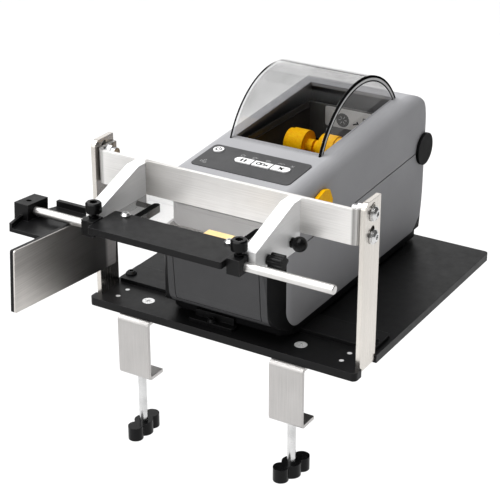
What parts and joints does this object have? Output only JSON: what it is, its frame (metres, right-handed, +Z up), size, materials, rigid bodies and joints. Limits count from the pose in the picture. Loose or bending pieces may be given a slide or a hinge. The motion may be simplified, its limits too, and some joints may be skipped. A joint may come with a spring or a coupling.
{
  "type": "label applicator",
  "caption": "Table-edge label applicator: base plate with posts, crossbar, label table and sliding stop, carrying a compact label printer with a hinged lid.",
  "frame": {"origin": "on the table top, below the middle of the base plate's front edge", "axes": "+X to the operator's right, +Y from the operator to the back, +Z up"},
  "size_m": [0.277, 0.396, 0.2934],
  "materials": {
    "black_paint": "satin powder coat",
    "rubber": "matt",
    "stainless": "brushed",
    "steel_fastener": "bright plated",
    "black_fastener": "black oxide",
    "aluminium": "fine bead-blasted",
    "clear_acrylic": "polished clear",
    "amber_film": "flat film",
    "black_plastic": "fine grain",
    "side_grey": "fine grain",
    "front_grey": "fine grain",
    "lid_grey": "fine grain",
    "smoked": "smoked clear",
    "button_white": "smooth",
    "yellow_plastic": "smooth",
    "head_metal": "satin"
  },
  "bodies": {
    "frame": {"base_plate": "black_paint", "rubber_feet": "rubber", "post_left": "stainless", "post_right": "stainless", "plate_screws": "steel_fastener", "printer_bar": "stainless", "plate_bolts": "black_fastener", "front_clip": "black_paint", "clamp_bracket_left": "stainless", "clamp_bracket_right": "stainless", "clamp_bushes": "steel_fastener", "printer_base": "black_plastic", "lower_housing": "side_grey", "front_bezel": "front_grey", "front_panel": "front_grey", "rear_ports": "black_plastic", "hinge_caps": "black_plastic", "feed_motor": "steel_fastener"},
    "crossbar_unit": {"crossbar": "stainless", "crossbar_bolts": "steel_fastener", "crossbar_nuts": "black_fastener", "gusset_left": "aluminium", "gusset_right": "aluminium", "gusset_screws": "steel_fastener", "clear_plate": "clear_acrylic", "amber_strip": "amber_film"},
    "table_unit": {"label_table": "black_paint", "table_screws": "steel_fastener", "rod_block_left": "black_paint", "rod_block_right": "black_paint"},
    "rod_unit": {"guide_rod": "stainless"},
    "stop_unit": {"stop_carriage": "black_plastic", "stop_plate": "stainless"},
    "lid_unit": {"printer_lid": "lid_grey", "media_window": "smoked", "control_panel": "front_grey", "print_head": "head_metal"},
    "platen_unit": {"platen_roller": "rubber", "platen_gear": "button_white"},
    "pinion_unit": {"motor_pinion": "steel_fastener"},
    "rod_knob_left_unit": {"rod_knob_left": "black_plastic"},
    "plate_knob_front_left_unit": {"plate_knob_front_left": "black_plastic"},
    "plate_knob_rear_left_unit": {"plate_knob_rear_left": "black_plastic"},
    "rod_knob_right_unit": {"rod_knob_right": "black_plastic"},
    "plate_knob_front_right_unit": {"plate_knob_front_right": "black_plastic"},
    "plate_knob_rear_right_unit": {"plate_knob_rear_right": "black_plastic"},
    "clamp_pad_left_unit": {"clamp_pad_left": "black_plastic"},
    "clamp_screw_left_unit": {"clamp_screw_left": "steel_fastener", "clamp_knob_left": "black_plastic"},
    "clamp_pad_right_unit": {"clamp_pad_right": "black_plastic"},
    "clamp_screw_right_unit": {"clamp_screw_right": "steel_fastener", "clamp_knob_right": "black_plastic"},
    "power_button_unit": {"power_button": "button_white"},
    "pause_button_unit": {"pause_button": "button_white"},
    "feed_button_unit": {"feed_button": "button_white"},
    "cancel_button_unit": {"cancel_button": "button_white"},
    "latch_left_unit": {"latch_left": "yellow_plastic"},
    "latch_right_unit": {"latch_right": "yellow_plastic"},
    "roll_right_unit": {"roll_holder_right": "yellow_plastic"},
    "roll_left_unit": {"roll_holder_left": "yellow_plastic"}
  },
  "joints": [
    {"name": "crossbar_height", "type": "slide", "parent": "frame", "child": "crossbar_unit", "axis": [0, 0, 1], "range_m": [-0.0015, 0.0055]},
    {"name": "table_slide", "type": "slide", "parent": "crossbar_unit", "child": "table_unit", "axis": [0, 1, 0], "range_m": [-0.006, 0]},
    {"name": "rod_slide", "type": "slide", "parent": "table_unit", "child": "rod_unit", "axis": [1, 0, 0], "range_m": [-0.06, 0]},
    {"name": "stop_swing", "type": "hinge", "parent": "rod_unit", "child": "stop_unit", "pos_m": [-0.134, -0.0579, 0.1093], "axis": [1, 0, 0], "range_deg": [-25, 0]},
    {"name": "rod_knob_left_turn", "type": "hinge", "parent": "table_unit", "child": "rod_knob_left_unit", "pos_m": [-0.071, -0.0579, 0.12], "axis": [0, 0, 1], "range_deg": [-180, 180]},
    {"name": "plate_knob_front_left_turn", "type": "hinge", "parent": "crossbar_unit", "child": "plate_knob_front_left_unit", "pos_m": [-0.0865, -0.0363, 0.1074], "axis": [1, 0, 0], "range_deg": [-180, 180]},
    {"name": "plate_knob_rear_left_turn", "type": "hinge", "parent": "crossbar_unit", "child": "plate_knob_rear_left_unit", "pos_m": [-0.0865, -0.0017, 0.1074], "axis": [1, 0, 0], "range_deg": [-180, 180]},
    {"name": "rod_knob_right_turn", "type": "hinge", "parent": "table_unit", "child": "rod_knob_right_unit", "pos_m": [0.058, -0.0579, 0.12], "axis": [0, 0, 1], "range_deg": [-180, 180]},
    {"name": "plate_knob_front_right_turn", "type": "hinge", "parent": "crossbar_unit", "child": "plate_knob_front_right_unit", "pos_m": [0.0735, -0.0363, 0.1074], "axis": [1, 0, 0], "range_deg": [-180, 180]},
    {"name": "plate_knob_rear_right_turn", "type": "hinge", "parent": "crossbar_unit", "child": "plate_knob_rear_right_unit", "pos_m": [0.0735, -0.0017, 0.1074], "axis": [1, 0, 0], "range_deg": [-180, 180]},
    {"name": "clamp_pad_left_slide", "type": "slide", "parent": "frame", "child": "clamp_pad_left_unit", "axis": [0, 0, 1], "range_m": [-0.008, 0.026]},
    {"name": "clamp_screw_left_turn", "type": "hinge", "parent": "clamp_pad_left_unit", "child": "clamp_screw_left_unit", "pos_m": [-0.0785, 0.007, -0.07], "axis": [0, 0, 1], "range_deg": [-2305, 7489]},
    {"name": "clamp_pad_right_slide", "type": "slide", "parent": "frame", "child": "clamp_pad_right_unit", "axis": [0, 0, 1], "range_m": [-0.015, 0.019]},
    {"name": "clamp_screw_right_turn", "type": "hinge", "parent": "clamp_pad_right_unit", "child": "clamp_screw_right_unit", "pos_m": [0.0665, 0.007, -0.07], "axis": [0, 0, 1], "range_deg": [-4321, 5473]},
    {"name": "lid_hinge", "type": "hinge", "parent": "frame", "child": "lid_unit", "pos_m": [0, 0.2505, 0.0959], "axis": [-1, 0, 0], "range_deg": [0, 80]},
    {"name": "power_button_press", "type": "slide", "parent": "lid_unit", "child": "power_button_unit", "axis": [0, -0.0732, 0.9973], "range_m": [-0.0008, 0], "stiffness_N_per_m": 600},
    {"name": "pause_button_press", "type": "slide", "parent": "lid_unit", "child": "pause_button_unit", "axis": [0, -0.0732, 0.9973], "range_m": [-0.0008, 0], "stiffness_N_per_m": 600},
    {"name": "feed_button_press", "type": "slide", "parent": "lid_unit", "child": "feed_button_unit", "axis": [0, -0.0732, 0.9973], "range_m": [-0.0008, 0], "stiffness_N_per_m": 600},
    {"name": "cancel_button_press", "type": "slide", "parent": "lid_unit", "child": "cancel_button_unit", "axis": [0, -0.0732, 0.9973], "range_m": [-0.0008, 0], "stiffness_N_per_m": 600},
    {"name": "latch_left_pull", "type": "slide", "parent": "lid_unit", "child": "latch_left_unit", "axis": [0, -1, 0], "range_m": [0, 0.005], "stiffness_N_per_m": 300},
    {"name": "latch_right_pull", "type": "slide", "parent": "lid_unit", "child": "latch_right_unit", "axis": [0, -1, 0], "range_m": [0, 0.005], "stiffness_N_per_m": 300},
    {"name": "roll_right_slide", "type": "slide", "parent": "frame", "child": "roll_right_unit", "axis": [1, 0, 0], "range_m": [0, 0.014]},
    {"name": "roll_left_slide", "type": "slide", "parent": "frame", "child": "roll_left_unit", "axis": [-1, 0, 0], "range_m": [0, 0.014]},
    {"name": "platen_turn", "type": "hinge", "parent": "frame", "child": "platen_unit", "pos_m": [0, 0.03, 0.079], "axis": [1, 0, 0], "continuous": true},
    {"name": "pinion_turn", "type": "hinge", "parent": "frame", "child": "pinion_unit", "pos_m": [-0.048, 0.04012, 0.06693], "axis": [1, 0, 0], "continuous": true}
  ],
  "couplings": [
    {"joint": "clamp_screw_left_turn", "follows": "clamp_pad_left_slide", "rad_per_m": 5026.5},
    {"joint": "clamp_screw_right_turn", "follows": "clamp_pad_right_slide", "rad_per_m": 5026.5},
    {"joint": "roll_left_slide", "follows": "roll_right_slide", "ratio": 1},
    {"joint": "pinion_turn", "follows": "platen_turn", "ratio": -1.2941}
  ]
}
